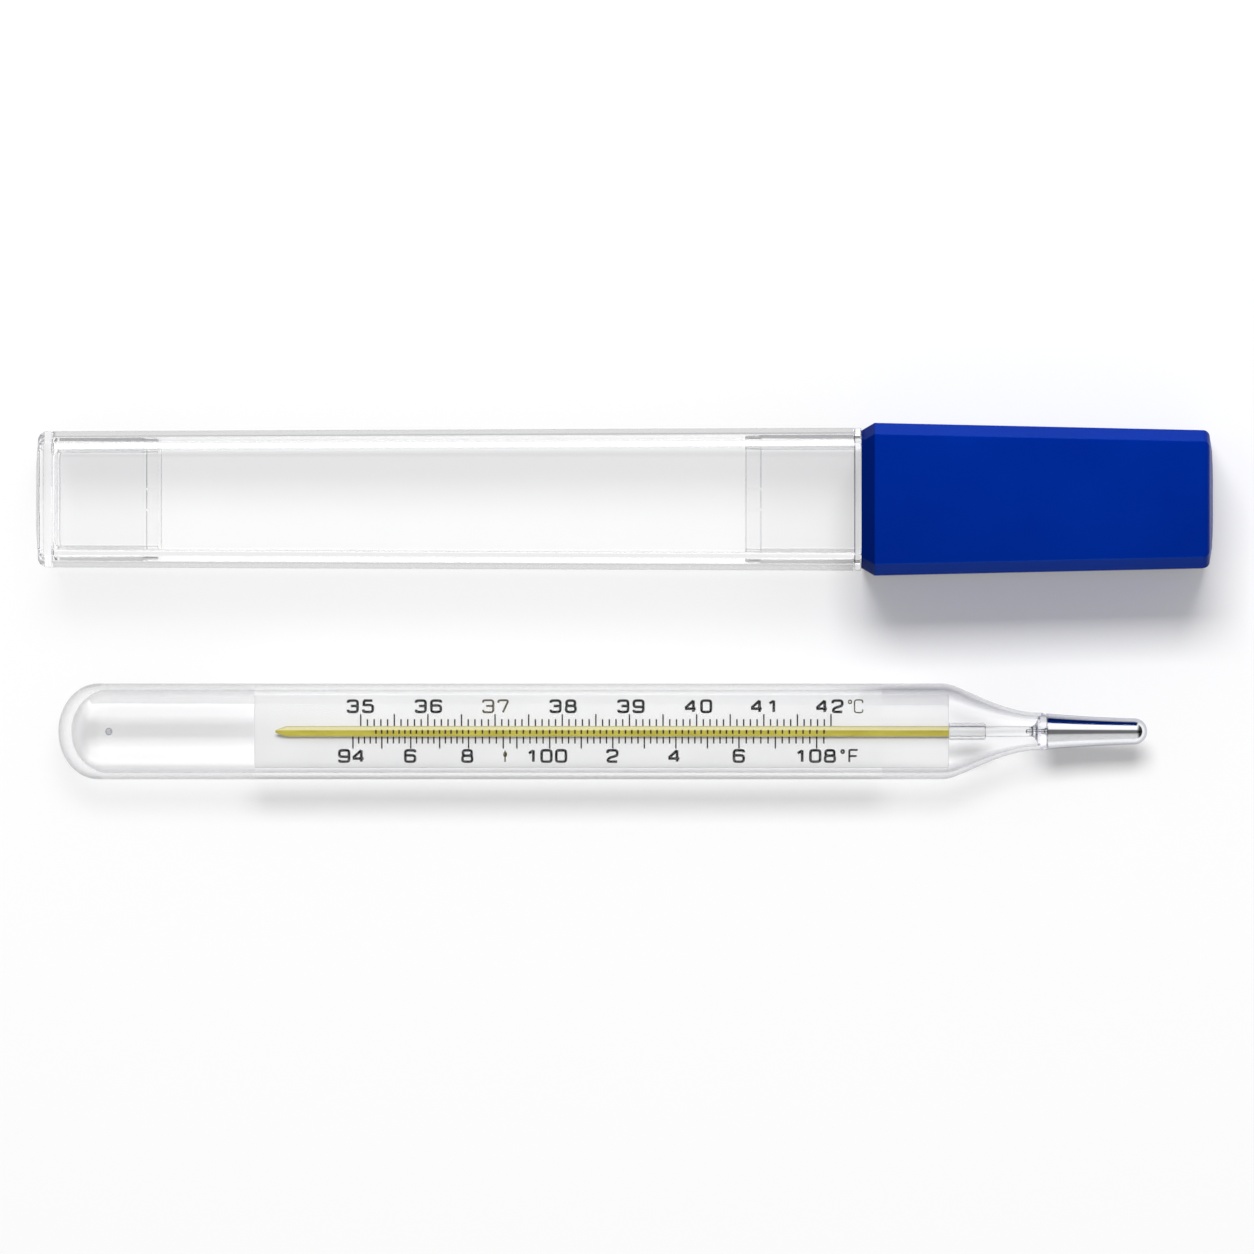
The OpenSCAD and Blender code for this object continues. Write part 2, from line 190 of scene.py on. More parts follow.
soft_box = bpy.data.objects.new("soft_box", bpy.data.lights.new("soft_box", "AREA"))
soft_box.data.shape = "RECTANGLE"
soft_box.data.size = 0.56
soft_box.data.size_y = 0.34
soft_box.data.energy = 11.4
box_away = 1.2
box_angle = math.radians(26.5)
soft_box.location = (0, box_away * math.sin(box_angle), box_away * math.cos(box_angle))
soft_box.rotation_euler = (-box_angle, 0, 0)
soft_box.visible_glossy = False
soft_box.visible_transmission = False
bpy.context.scene.collection.objects.link(soft_box)

# Outer glass of the thermometer: a drawn tube of clear soda glass, closed to a blunt dome at one end, where it is
# thicker, and drawn down to a neck at the other. It lies on the table along X.
dome_at = (-0.0650216, -0.0149125, 0.0055)
sheath_r, sheath_wall = 0.0055, 0.0007
dome_l, dome_wall = 0.0046, 0.0012
shoulder_at, neck_at = 0.1015, 0.1127
neck_r, neck_wall = 0.00215, 0.0004
# The least distance that is kept between pieces that touch, and between a turned profile and its axis.
hair = 0.00001


def on_thermometer(points):
    """Points given as (along, across, up) from the tip of the dome, in the frame."""
    return points + np.array(dome_at)


def skin(name, loops, place, ring=False):
    """A closed skin through m loops of n points. Each loop is joined to the next by quads. The first and last loops
    are closed by a fan to their own middle, or joined to each other when ring is true. The whole is turned inside
    out if its volume, a sixth of the sum of the triple products of its triangles, comes out negative."""
    m, n = loops.shape[:2]
    points = place(loops.reshape(-1, 3))
    rows = np.arange(m if ring else m - 1)[:, None]
    here = rows * n + np.arange(n)
    there = (rows + 1) % m * n + np.arange(n)
    quads = np.stack([here, np.roll(here, -1, 1), np.roll(there, -1, 1), there], -1).reshape(-1, 4)
    fans = np.zeros((0, 3), int)
    if not ring:
        points = np.vstack([points, points[:n].mean(0), points[(m - 1) * n:m * n].mean(0)])
        first, last = np.arange(n), (m - 1) * n + np.arange(n)
        fans = np.vstack([
            np.stack([np.roll(first, -1), first, np.full(n, m * n)], -1),
            np.stack([last, np.roll(last, -1), np.full(n, m * n + 1)], -1)])
    corners = np.vstack([quads[:, [0, 1, 2]], quads[:, [0, 2, 3]], fans])
    a, b, c = (points[corners[:, i]] - points.mean(0) for i in range(3))
    if np.einsum("ij,ij->", a, np.cross(b, c)) < 0:
        quads, fans = quads[:, ::-1], fans[:, ::-1]
    mesh = bpy.data.meshes.new(name)
    mesh.from_pydata(points.tolist(), [], quads.tolist() + fans.tolist())
    mesh.shade_smooth()
    mesh.set_sharp_from_angle(angle=math.radians(35))
    made = bpy.data.objects.new(name, mesh)
    bpy.context.scene.collection.objects.link(made)
    return made


def bezier(a, b, c, d, steps=40):
    """Points of the cubic curve that leaves a towards b and reaches d from c."""
    u = np.linspace(0, 1, steps)[:, None]
    a, b, c, d = (np.array(p, float) for p in (a, b, c, d))
    return (1 - u) ** 3 * a + 3 * u * (1 - u) ** 2 * b + 3 * u * u * (1 - u) * c + u ** 3 * d


def dome(radius, tip, length, steps=40):
    """A quarter of an ellipse from just off the axis at `tip` out to the radius, as (length, radius)."""
    a = np.linspace(0.004, math.pi / 2, steps)
    return np.stack([tip + length * (1 - np.cos(a)), radius * np.sin(a)], -1)


def softened(points, radius, steps=5, closed=False):
    """Each corner of a line of points becomes a quadratic curve that starts and ends `radius` from it, or half a side
    away where a side is shorter than twice that."""
    p = np.array(points, float)
    before, after = np.roll(p, 1, 0) - p, np.roll(p, -1, 0) - p
    reach = [np.minimum(radius, np.linalg.norm(s, axis=1, keepdims=True) / 2) * s
             / np.maximum(np.linalg.norm(s, axis=1, keepdims=True), 1e-12) for s in (before, after)]
    u = np.linspace(0, 1, steps)[:, None, None]
    curve = (1 - u) ** 2 * (p + reach[0]) + 2 * u * (1 - u) * p + u ** 2 * (p + reach[1])
    curve = curve.transpose(1, 0, 2)
    if closed:
        return curve.reshape(-1, p.shape[1])
    return np.vstack([p[:1], curve[1:-1].reshape(-1, p.shape[1]), p[-1:]])


def turned(profile, sides=160):
    """Loops of a lathe-turned piece: each (length, radius) of the profile carried round the axis."""
    around = np.linspace(0, 2 * math.pi, sides, endpoint=False)
    length, radius = np.array(profile).T[:, :, None]
    return np.stack([length + 0 * around, radius * np.cos(around), radius * np.sin(around)], -1)


def shoulder(radius, end_radius):
    """The S curve from the straight tube to the neck: a cubic that leaves and arrives along the axis."""
    run = neck_at - shoulder_at
    return bezier((shoulder_at, radius), (shoulder_at + 0.19 * run, radius),
                  (shoulder_at + 0.57 * run, end_radius), (neck_at, end_radius))


sheath_bore = sheath_r - sheath_wall
over_scale_at, drawn_at = 0.02256, 0.0945
outside = np.vstack([dome(sheath_r, 0, dome_l), [(over_scale_at, sheath_r), (drawn_at, sheath_r)],
                     shoulder(sheath_r, neck_r)])
inside = np.vstack([dome(sheath_bore, dome_wall, dome_l + sheath_wall - dome_wall),
                    [(over_scale_at, sheath_bore), (drawn_at, sheath_bore)], shoulder(sheath_bore, neck_r - neck_wall)])
sheath = skin("sheath_drawn", turned(np.vstack([outside, inside[::-1]])), on_thermometer)
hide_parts("sheath")
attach(sheath, "thermometer")

ripple = bpy.data.node_groups.new("ripple", "ShaderNodeTree")
for name, start in (("Size", 300.0), ("Depth", 0.1), ("Haze", 0.01)):
    ripple.interface.new_socket(name, in_out="INPUT", socket_type="NodeSocketFloat").default_value = start
ripple.interface.new_socket("Normal", in_out="OUTPUT", socket_type="NodeSocketVector")
ripple.interface.new_socket("Roughness", in_out="OUTPUT", socket_type="NodeSocketFloat")
ins, where = add(ripple, "NodeGroupInput"), on_piece(ripple)
stretch = add(ripple, "ShaderNodeMapping", Vector=where, Scale=(0.02, 1, 1))
waves = add(ripple, "ShaderNodeTexNoise", Vector=(stretch, "Vector"), Scale=(ins, "Size"), Detail=2.0)
bump = add(ripple, "ShaderNodeBump", Strength=(ins, "Depth"), Distance=0.0001, Height=(waves, "Fac"))
dust = add(ripple, "ShaderNodeTexNoise", Vector=where, Scale=900.0, Detail=3.0)
cloud = add(ripple, "ShaderNodeMapRange", Value=(dust, "Fac"), From_Min=0.45, From_Max=0.75, To_Max=(ins, "Haze"))
add(ripple, "NodeGroupOutput", Normal=(bump, "Normal"), Roughness=(cloud, "Result"))


def clear(name, colour, ior, gloss, seam, rim, face, edge, size, depth, haze, start=0.34):
    """Clear glass or plastic: a see-through shader that mirrors the share `gloss` of what bare glass would. It has
    drawn-out ripples, `size` of them in a metre and as strong as `depth`, and a trace of haze. Where it is looked at
    along its wall it takes on the colour `rim`, and on the way there, from the slant `start` on, `seam`: partly for
    the greater depth of it seen there, partly painted shade for the dark outline that clear pieces show. Rays of shadow
    go straight through it, tinted `face` where they cross the wall squarely and `edge` where they graze it. So does
    light that has been thrown to and fro inside a wall three times."""
    made, tree, shader = blank(name)
    tone = add(tree, "ShaderNodeTexNoise", Vector=on_piece(tree), Scale=120.0, Detail=2.0)
    shades = mix(tree, "MIX", (tone, "Fac"), (*colour, 1), (*(c * 0.985 for c in colour), 1))
    facing = add(tree, "ShaderNodeLayerWeight", Blend=0.5)
    deep = ramp(tree, (facing, "Facing"), (start, (1, 1, 1)), (0.46, seam), (0.8, rim), (1, rim))
    surface = add(tree, "ShaderNodeGroup", node_tree=ripple, Size=size, Depth=depth, Haze=haze)
    put(shader, Transmission_Weight=1, IOR=ior, Specular_Tint=(gloss, gloss, gloss, 1),
        Base_Color=mix(tree, "MULTIPLY", 1, shades, deep), Normal=(surface, "Normal"),
        Roughness=(surface, "Roughness"))
    path = add(tree, "ShaderNodeLightPath")
    either = maths(tree, "MAXIMUM", (path, "Is Shadow Ray"), (path, "Is Diffuse Ray"))
    straight = maths(tree, "MAXIMUM", either, maths(tree, "GREATER_THAN", (path, "Glossy Depth"), 2.5))
    grazing = add(tree, "ShaderNodeMapRange", Value=(facing, "Facing"), From_Min=0.15)
    tint = mix(tree, "MIX", (grazing, "Result"), (*face, 1), (*edge, 1))
    through = add(tree, "ShaderNodeBsdfTransparent", Color=tint)
    blend = add(tree, "ShaderNodeMixShader")
    for socket, given in zip(blend.inputs, (straight, (shader, "BSDF"), (through, "BSDF"))):
        join(given, socket)
    put(tree.nodes["Material Output"], Surface=(blend, "Shader"))
    return made


def paint(made, choose):
    """Each face of the piece takes the material whose number `choose` gives for the (x, y) of the face's middle."""
    middles = np.empty(len(made.data.polygons) * 3)
    made.data.polygons.foreach_get("center", middles)
    made.data.polygons.foreach_set("material_index", choose(middles[::3], middles[1::3]).astype(int))


# The same glass mirrors more over the empty dome than over the white plate, and is tinted greyer there; where it is
# drawn, its outline is painted darker. Over the plate, where the wall is met at a slant, its rear half lets light
# through almost untinted, so the plate is not shaded, while its front half lets much less through, which darkens the
# shadow it throws south. So it has four zones: the dome, the rear and the front half over the plate, and the drawn end.
for name, colour, gloss, seam, rim, edge in (
        ("sheath_clear_glass", (0.89, 0.89, 0.893), 1.0,
         (0.94, 0.94, 0.95), (0.52, 0.52, 0.53), (0.84, 0.84, 0.85)),
        ("sheath_bloomed_glass", (0.99, 0.992, 0.993), 0.12,
         (0.91, 0.91, 0.92), (0.36, 0.36, 0.365), (0.93, 0.93, 0.93)),
        ("sheath_bloomed_front_glass", (0.99, 0.992, 0.993), 0.12,
         (0.9, 0.9, 0.91), (0.4, 0.4, 0.405), (0.42, 0.42, 0.425)),
        ("sheath_drawn_glass", (0.985, 0.985, 0.987), 0.3,
         (0.66, 0.66, 0.69), (0.52, 0.52, 0.53), (0.75, 0.75, 0.76))):
    sheath.data.materials.append(clear(name, colour, ior=1.5, gloss=gloss, seam=seam, rim=rim,
                                       face=(0.997, 0.997, 0.997), edge=edge, size=260.0, depth=0.001, haze=0.01))
paint(sheath, lambda x, y: np.where(x - dome_at[0] > drawn_at, 3, np.where(
    x - dome_at[0] < over_scale_at, 0, np.where(y - dome_at[1] > 0, 1, 2))))

# Droplet: the clear glass that ran down inside the sheath when its dome was sealed in the flame. It hangs from the
# upper wall, fused to it.
bead_r, bead_along = 0.0004, 0.0059
around = np.linspace(0.02, math.pi - 0.02, 24)
bead_profile = np.stack([bead_along - bead_r * np.cos(around), bead_r * np.sin(around)], -1)
bead_up = np.array([0, 0, sheath_bore - bead_r - hair])
bead = skin("seal_bead_drop", turned(bead_profile, 48) + bead_up, on_thermometer)
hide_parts("seal_bead")
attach(bead, "thermometer")
# Its grey tint and dark outline are painted shade for the dark ring that the clear droplet shows, and it lets little
# light through, so its shadow is a dark smudge.
bead.data.materials.append(clear("bead_clear_glass", (0.7, 0.7, 0.74), ior=1.5, gloss=1.0, seam=(0.2, 0.2, 0.24),
                                 rim=(0.2, 0.2, 0.24), face=(0.75, 0.75, 0.75), edge=(0.3, 0.3, 0.3), size=900.0,
                                 depth=0.1, haze=0.05))

# Scale plate: a flat strip of white opal glass with ground edges, slid in behind the capillary. Its lower edges rest
# on the round wall of the sheath.
plate_low, plate_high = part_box("scale_plate")
plate_round = 0.00012


def strip(low, high, radius):
    """A bar along X between two corners of a box: its rectangle's corners are softened, and so are its ends. At an end
    the section draws in by the radius times 1 less the sine of an angle, while it comes in from the end by the radius
    times 1 less the cosine."""
    section = softened([(low[1], low[2]), (high[1], low[2]), (high[1], high[2]), (low[1], high[2])], radius,
                       closed=True)
    middle = section.mean(0)
    bend = np.linspace(0, math.pi / 2, 4)
    reach, inset = radius * (1 - np.cos(bend)), radius * (1 - np.sin(bend))
    along = np.concatenate([low[0] + reach, (high[0] - reach)[::-1]])
    inset = np.concatenate([inset, inset[::-1]])
    half = np.abs(section - middle)
    pulled = middle + (section - middle) * (1 - inset[:, None, None] / np.maximum(half.max(0), 1e-9))
    return np.concatenate([np.broadcast_to(along[:, None, None], (*pulled.shape[:2], 1)), pulled], -1)


def as_given(points):
    return points


plate = skin("opal_plate", strip(np.array(plate_low), np.array(plate_high), plate_round), as_given)
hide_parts("scale_plate")
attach(plate, "thermometer")
opal, tree, shader = blank("opal_glass")
where = on_piece(tree)
cloudy = add(tree, "ShaderNodeTexNoise", Vector=where, Scale=160.0, Detail=4.0)
grit = add(tree, "ShaderNodeTexNoise", Vector=where, Scale=4000.0, Detail=3.0)
fine = add(tree, "ShaderNodeBump", Strength=0.15, Distance=0.00002, Height=(grit, "Fac"))
put(shader, Base_Color=ramp(tree, (cloudy, "Fac"), (0.35, (0.89, 0.89, 0.895)), (0.65, (0.92, 0.92, 0.925))),
    Normal=(fine, "Normal"), Roughness=0.4, Specular_IOR_Level=0.4)
plate.data.materials.append(opal)
plate.visible_shadow = False

# The printed marks: short and long lines fired on the plate in black enamel, and slightly worn. They are the CAD's own
# thin solids.


def worn_ink(name, scale, detail, dark, pale):
    """Ink that is worn thin in places. Its dark and pale stops are each a (position, colour)."""
    made, tree, shader = blank(name)
    wear = add(tree, "ShaderNodeTexNoise", Vector=on_piece(tree), Scale=scale, Detail=detail)
    put(shader, Base_Color=ramp(tree, (wear, "Fac"), dark, pale), Roughness=0.5)
    return made


ink = worn_ink("black_ink", 2500.0, 4.0, (0.4, (0.001, 0.001, 0.0015)), (0.8, (0.012, 0.012, 0.013)))
for name in ("celsius_graduations", "fahrenheit_graduations"):
    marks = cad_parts[name].data
    marks.materials.clear()
    marks.materials.append(ink)
    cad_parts[name].visible_shadow = False

# The numerals: wide squarish figures printed with the marks in the same ink, each stroke a thin flat line. They are
# given by their strokes in a square of side 1.
figure_h, stroke_w, ink_t = 0.00166, 0.00031, 0.00003
ink_sunk, corner_reach, type_shift = 0.000005, 0.00032, 0.00009
strokes = {
    "0": [([(0, 0), (1, 0), (1, 1), (0, 1)], True)],
    "1": [([(0.66, 0), (0.66, 1)], False), ([(0.66, 0.97), (0.2, 0.74)], False)],
    "2": [([(0, 0.76), (0, 1), (1, 1), (1, 0.56), (0.8, 0.5), (0.1, 0.32), (0, 0), (1, 0)], False)],
    "3": [([(0, 0.8), (0, 1), (1, 1), (1, 0), (0, 0), (0, 0.2)], False), ([(0.3, 0.52), (0.97, 0.52)], False)],
    "4": [([(0.76, 0), (0.76, 1)], False), ([(0.76, 1), (-0.1, 0.34)], False), ([(-0.14, 0.28), (1, 0.28)], False)],
    "5": [([(0.96, 1), (0.04, 1)], False), ([(0.08, 1), (0.04, 0.5)], False),
          ([(0.04, 0.6), (1, 0.6), (1, 0), (0, 0), (0, 0.22)], False)],
    "6": [([(1, 0.82), (1, 1), (0, 1), (0, 0), (1, 0), (1, 0.56), (0.05, 0.56)], False)],
    "7": [([(0, 0.78), (0, 1), (1, 1), (0.45, 0)], False)],
    "8": [([(0, 0), (1, 0), (1, 0.53), (0, 0.53)], True), ([(0.05, 0.53), (0.95, 0.53), (0.95, 1), (0.05, 1)], True)],
    "9": [([(0, 0.18), (0, 0), (1, 0), (1, 1), (0, 1), (0, 0.44), (0.95, 0.44)], False)],
    "C": [([(1, 0.76), (1, 1), (0, 1), (0, 0), (1, 0), (1, 0.24)], False)],
    "F": [([(1, 1), (0, 1)], False), ([(0, 1), (0, 0)], False), ([(0, 0.5), (0.85, 0.5)], False)],
    "o": [([(0, 0), (1, 0), (1, 1), (0, 1)], True)],
    "stem": [([(0, 0), (0, 1)], False)],
    "head": [([(0.5, 1), (0, 0.4), (0.5, 0), (1, 0.4)], True)],
}
plate_top = plate_high[2]


def line_of_ink(points, closed, width):
    """Loops of a flat line: a rectangle, as wide as the line and as thick as the ink, carried along the path. At each
    point it stands across the mean of the two directions that meet there."""
    path = softened(points, corner_reach, 7, closed)
    if closed:
        ahead, behind = np.roll(path, -1, 0), np.roll(path, 1, 0)
    else:
        ahead, behind = np.vstack([path[1:], path[-1:]]), np.vstack([path[:1], path[:-1]])
    run = ahead - behind
    run /= np.linalg.norm(run, axis=1, keepdims=True)
    across = np.stack([-run[:, 1], run[:, 0]], -1) * width / 2
    left, right = path + across, path - across
    low, high = np.full(len(path), plate_top - ink_sunk), np.full(len(path), plate_top + ink_t)
    return np.stack([np.column_stack(side) for side in ((left, low), (right, low), (right, high), (left, high))], 1)


def row(text, middle, foot, wide, step):
    """The figures of a text centred on `middle`, a step apart, as (figure, left, foot, width, height)."""
    left = middle - type_shift - step * (len(text) - 1) / 2 - wide / 2
    return [(figure, left + step * i, foot, wide, figure_h) for i, figure in enumerate(text)]


def write(name, figures, printed_in, width=stroke_w):
    """Figures given as (figure, left, foot, width, height) from the dome's tip, joined in one printed piece."""
    parts = []
    for figure, left, foot, wide, high in figures:
        for points, closed in strokes[figure]:
            p = np.array(points, float) * (max(wide - width, 0), high - width) + width / 2
            p += (dome_at[0] + left, dome_at[1] + foot)
            parts.append(skin("line", line_of_ink(p, closed, width), as_given, ring=closed))
    points, faces, count = [], [], 0
    for part in parts:
        points.append([tuple(v.co) for v in part.data.vertices])
        faces += [[i + count for i in f.vertices] for f in part.data.polygons]
        count += len(part.data.vertices)
        bpy.data.objects.remove(part)
    mesh = bpy.data.meshes.new(name)
    mesh.from_pydata([p for ps in points for p in ps], [], faces)
    made = bpy.data.objects.new(name, mesh)
    bpy.context.scene.collection.objects.link(made)
    mesh.materials.append(printed_in)
    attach(made, "thermometer")
    made.visible_shadow = False


celsius_foot, celsius_w, celsius_step = 0.0021, 0.00139, 0.00175
fahrenheit_foot, fahrenheit_w, fahrenheit_step = -0.00371, 0.00142, 0.00168
celsius = [("35", 0.03476), ("36", 0.04257), ("38", 0.05804), ("39", 0.06582), ("40", 0.07359), ("41", 0.08118),
           ("42", 0.08867)]
write("celsius_figures", [f for text, at in celsius for f in row(text, at, celsius_foot, celsius_w, celsius_step)],
      ink)
fahrenheit = [("94", 0.03373), ("6", 0.04047), ("8", 0.04703), ("100", 0.05612), ("2", 0.06369), ("4", 0.07083),
              ("6", 0.07821), ("108", 0.08699)]
write("fahrenheit_figures",
      [f for text, at in fahrenheit for f in row(text, at, fahrenheit_foot, fahrenheit_w, fahrenheit_step)],
      ink)
write("fahrenheit_unit", [("o", 0.08979, fahrenheit_foot + 0.00108, 0.00052, 0.00056),
                          ("F", 0.0907, fahrenheit_foot, 0.0012, figure_h)], ink, width=0.00022)

# The figure and the mark of normal body heat and the Celsius sign: finer strokes of another ink, printed after the
# black one, which has faded to olive.
faded = worn_ink("faded_ink", 3000.0, 3.0, (0, (0.03, 0.026, 0.008)), (1, (0.13, 0.115, 0.04)))
write("normal_figure", row("37", 0.05031, celsius_foot, celsius_w, celsius_step), faded, width=0.00023)
write("celsius_unit", [("o", 0.09065, celsius_foot + 0.00108, 0.00048, 0.00054),
                       ("C", 0.09133, celsius_foot, 0.00108, figure_h)], faded, width=0.00015)
write("normal_mark", [("stem", 0.05119, fahrenheit_foot + 0.00005, 0.00017, 0.0015),
                      ("head", 0.05101, fahrenheit_foot + 0.00065, 0.00056, 0.0008)],
      faded, width=0.00017)

# Capillary: a rod of clear glass, pointed at the far end, lying in front of the plate. The bore is too fine to see
# where it is empty, so only the mercury in it is drawn.
capillary_r, capillary_end = 0.00063, 0.1115
rod = [(0.0249, hair), (0.02495, 0.00016), (0.0262, capillary_r), (capillary_end, capillary_r), (capillary_end, hair)]
capillary = skin("capillary_rod", turned(softened(rod, 0.00012), 64), on_thermometer)
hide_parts("capillary_tube")
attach(capillary, "thermometer")
capillary.data.materials.append(clear("capillary_clear_glass", (0.985, 0.99, 0.99), ior=1.52, gloss=1.0,
                                      seam=(0.4, 0.4, 0.42), rim=(0.7, 0.7, 0.71), face=(0.97, 0.97, 0.97),
                                      edge=(0.8, 0.8, 0.8), size=700.0, depth=0.01, haze=0.01))

# Backing strip: a band of yellow enamel fused into the back of the capillary, which the round glass magnifies until
# it fills the rod.
strip_low, strip_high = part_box("capillary_backing")
bar = strip(np.array(strip_low), np.array(strip_high), 0.00004)
whole = bar[3] - np.array(dome_at)
point = np.stack([whole * (0, share, share) + (dome_at[0] + at, *dome_at[1:])
                  for at, share in ((0.025, 0.27), (0.0256, 0.6))])
backing = skin("yellow_strip", np.concatenate([point, bar[3:]]), as_given)
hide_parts("capillary_backing")
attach(backing, "thermometer")
enamel, tree, shader = blank("yellow_enamel")
where = on_piece(tree)
drawn = add(tree, "ShaderNodeMapping", Vector=where, Scale=(0.1, 1, 1))
streaks = add(tree, "ShaderNodeTexNoise", Vector=(drawn, "Vector"), Scale=2600.0, Detail=3.0)
yellows = ramp(tree, (streaks, "Fac"), (0.35, (0.52, 0.44, 0.03)), (0.7, (0.66, 0.58, 0.07)))
across = add(tree, "ShaderNodeSeparateXYZ", Vector=where)
# Over its north half the yellow turns pale: a painted highlight for the light that the rod mirrors along it.
pale_north_highlight = add(tree, "ShaderNodeMapRange", Value=(across, "Y"), From_Min=dome_at[1] + 0.00004,
                From_Max=dome_at[1] + 0.00008)
put(shader, Base_Color=mix(tree, "MIX", (pale_north_highlight, "Result"), yellows, (0.86, 0.8, 0.42, 1)), Roughness=0.35)
backing.data.materials.append(enamel)

# Dashes: fine black lines under the bore, one for each Fahrenheit mark, laid on the face of the yellow strip. They are
# not printed there: they paint the images of the marks that the round rod bends into view. They stand where the CAD's
# marks do: two flanks a mark's width apart, to the nearest fiftieth of a millimetre.
dash_w, dash_l, dash_t = 0.00019, 0.00023, 0.00001
dash_south, dash_sunk = 0.00003, 0.000002
mark_w, nearest = 0.00016, 0.00002
flanks = np.array([v.co[0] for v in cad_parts["fahrenheit_graduations"].data.vertices])
flanks = np.unique(np.round(flanks / nearest)) * nearest
middles = flanks[:-1][np.abs(np.diff(flanks) - mark_w) < 0.00003] + mark_w / 2
dash_from, dash_to = (dome_at[0] + a for a in (0.0362, 0.0888))
middles = middles[(middles > dash_from) & (middles < dash_to)]
corner = np.array([(-1, -1), (1, -1), (1, 1), (-1, 1)]) / 2
same = 0 * middles[:, None]
sole = np.stack([middles[:, None] + corner[:, 0] * dash_w, dome_at[1] - dash_south + corner[:, 1] * dash_l + same,
                 strip_high[2] - dash_sunk + same + 0 * corner[:, 0]], -1)
blocks = np.concatenate([sole, sole + (0, 0, dash_t)], 1).reshape(-1, 3)
sides = np.array([(3, 2, 1, 0), (4, 5, 6, 7), (0, 1, 5, 4), (1, 2, 6, 5), (2, 3, 7, 6), (3, 0, 4, 7)])
dash_mesh = bpy.data.meshes.new("strip_dashes")
dash_mesh.from_pydata(blocks.tolist(), [], (sides + 8 * np.arange(len(middles))[:, None, None]).reshape(-1, 4).tolist())
dashes = bpy.data.objects.new("strip_dashes", dash_mesh)
bpy.context.scene.collection.objects.link(dashes)
dash_mesh.materials.append(ink)
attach(dashes, "thermometer")
dashes.visible_shadow = False

# Collar: a short sleeve of clear glass, cut from fine tube and slipped over the capillary. It butts on the end of the
# plate and keeps it from sliding.
collar_at, collar_l, collar_r, collar_round = 0.10211, 0.0042, 0.001, 0.00015
section = softened([(collar_at, capillary_r + hair), (collar_at, collar_r), (collar_at + collar_l, collar_r),
                    (collar_at + collar_l, capillary_r + hair)], collar_round, closed=True)
collar = skin("capillary_sleeve", turned(section, 64), on_thermometer, ring=True)
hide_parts("capillary_collar")
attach(collar, "thermometer")
collar.data.materials.append(clear("collar_clear_glass", (0.97, 0.97, 0.97), ior=1.5, gloss=1.0,
                                   seam=(0.4, 0.4, 0.44), rim=(0.6, 0.6, 0.63), face=(0.95, 0.95, 0.95),
                                   edge=(0.7, 0.7, 0.7), size=700.0, depth=0.08, haze=0.03))

# Weld: the bead of clear glass where the sheath, the capillary and the bulb were melted together in the flame. It
# closes the neck, and the thread of mercury passes through its middle.
weld_at, bulb_base = 0.1134, 0.00208
plug_r, root_r = neck_r - neck_wall - hair, capillary_r * 0.9
flare_l, flare = 0.0009, np.linspace(0, math.pi / 2, 16)
weld_profile = np.vstack([
    [(capillary_end, hair)],
    np.stack([capillary_end + flare_l * np.sin(flare), root_r + (plug_r - root_r) * (1 - np.cos(flare))], -1),
    [(neck_at, plug_r), (neck_at, neck_r)],
    bezier((neck_at, neck_r), (neck_at + 0.0002, neck_r + 0.00003), (weld_at - 0.0003, bulb_base),
           (weld_at, bulb_base), 10)[1:],
    [(weld_at, hair)]])
weld = skin("neck_bead", turned(weld_profile, 96), on_thermometer)
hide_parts("neck_weld")
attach(weld, "thermometer")
weld.data.materials.append(clear("weld_clear_glass", (0.88, 0.88, 0.92), ior=1.5, gloss=1.0, seam=(0.3, 0.3, 0.36),
                                 rim=(0.45, 0.45, 0.52), face=(0.93, 0.93, 0.93), edge=(0.6, 0.6, 0.6), size=800.0,
                                 depth=0.2, haze=0.03))

# Bulb: a thin tapered tube of normal glass with a round tip, drawn and closed in the flame and welded on at the neck.
# It is the part that feels the heat, so its wall is the thinnest.
overall_l, tip_r, bulb_wall = 0.125, 0.0015, 0.00033


def bulb_line(inset, steps=40):
    """The taper from the weld to the tip, then a quarter circle to the axis, both drawn in by the inset."""
    tip_at, taper = overall_l - tip_r, bulb_base - tip_r
    run = tip_at - weld_at
    side = bezier((weld_at, bulb_base - inset), (weld_at + 0.3 * run, bulb_base - 0.48 * taper - inset),
                  (weld_at + 0.65 * run, tip_r + 0.17 * taper - inset), (tip_at, tip_r - inset), steps)
    a = np.linspace(0, math.pi / 2 - 0.01, 24)[1:]
    end = np.stack([tip_at + (tip_r - inset) * np.sin(a), (tip_r - inset) * np.cos(a)], -1)
    return np.vstack([side, end])


bulb = skin("bulb_tube", turned(np.vstack([bulb_line(0)[::-1], bulb_line(bulb_wall)]), 96), on_thermometer)
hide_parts("bulb_glass")
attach(bulb, "thermometer")
bulb.data.materials.append(clear("bulb_clear_glass", (0.95, 0.95, 0.965), ior=1.5, gloss=0.35, seam=(0.5, 0.5, 0.56),
                                 rim=(0.5, 0.5, 0.58), face=(0.96, 0.96, 0.96), edge=(0.8, 0.8, 0.8), size=900.0,
                                 depth=0.01, haze=0.01))

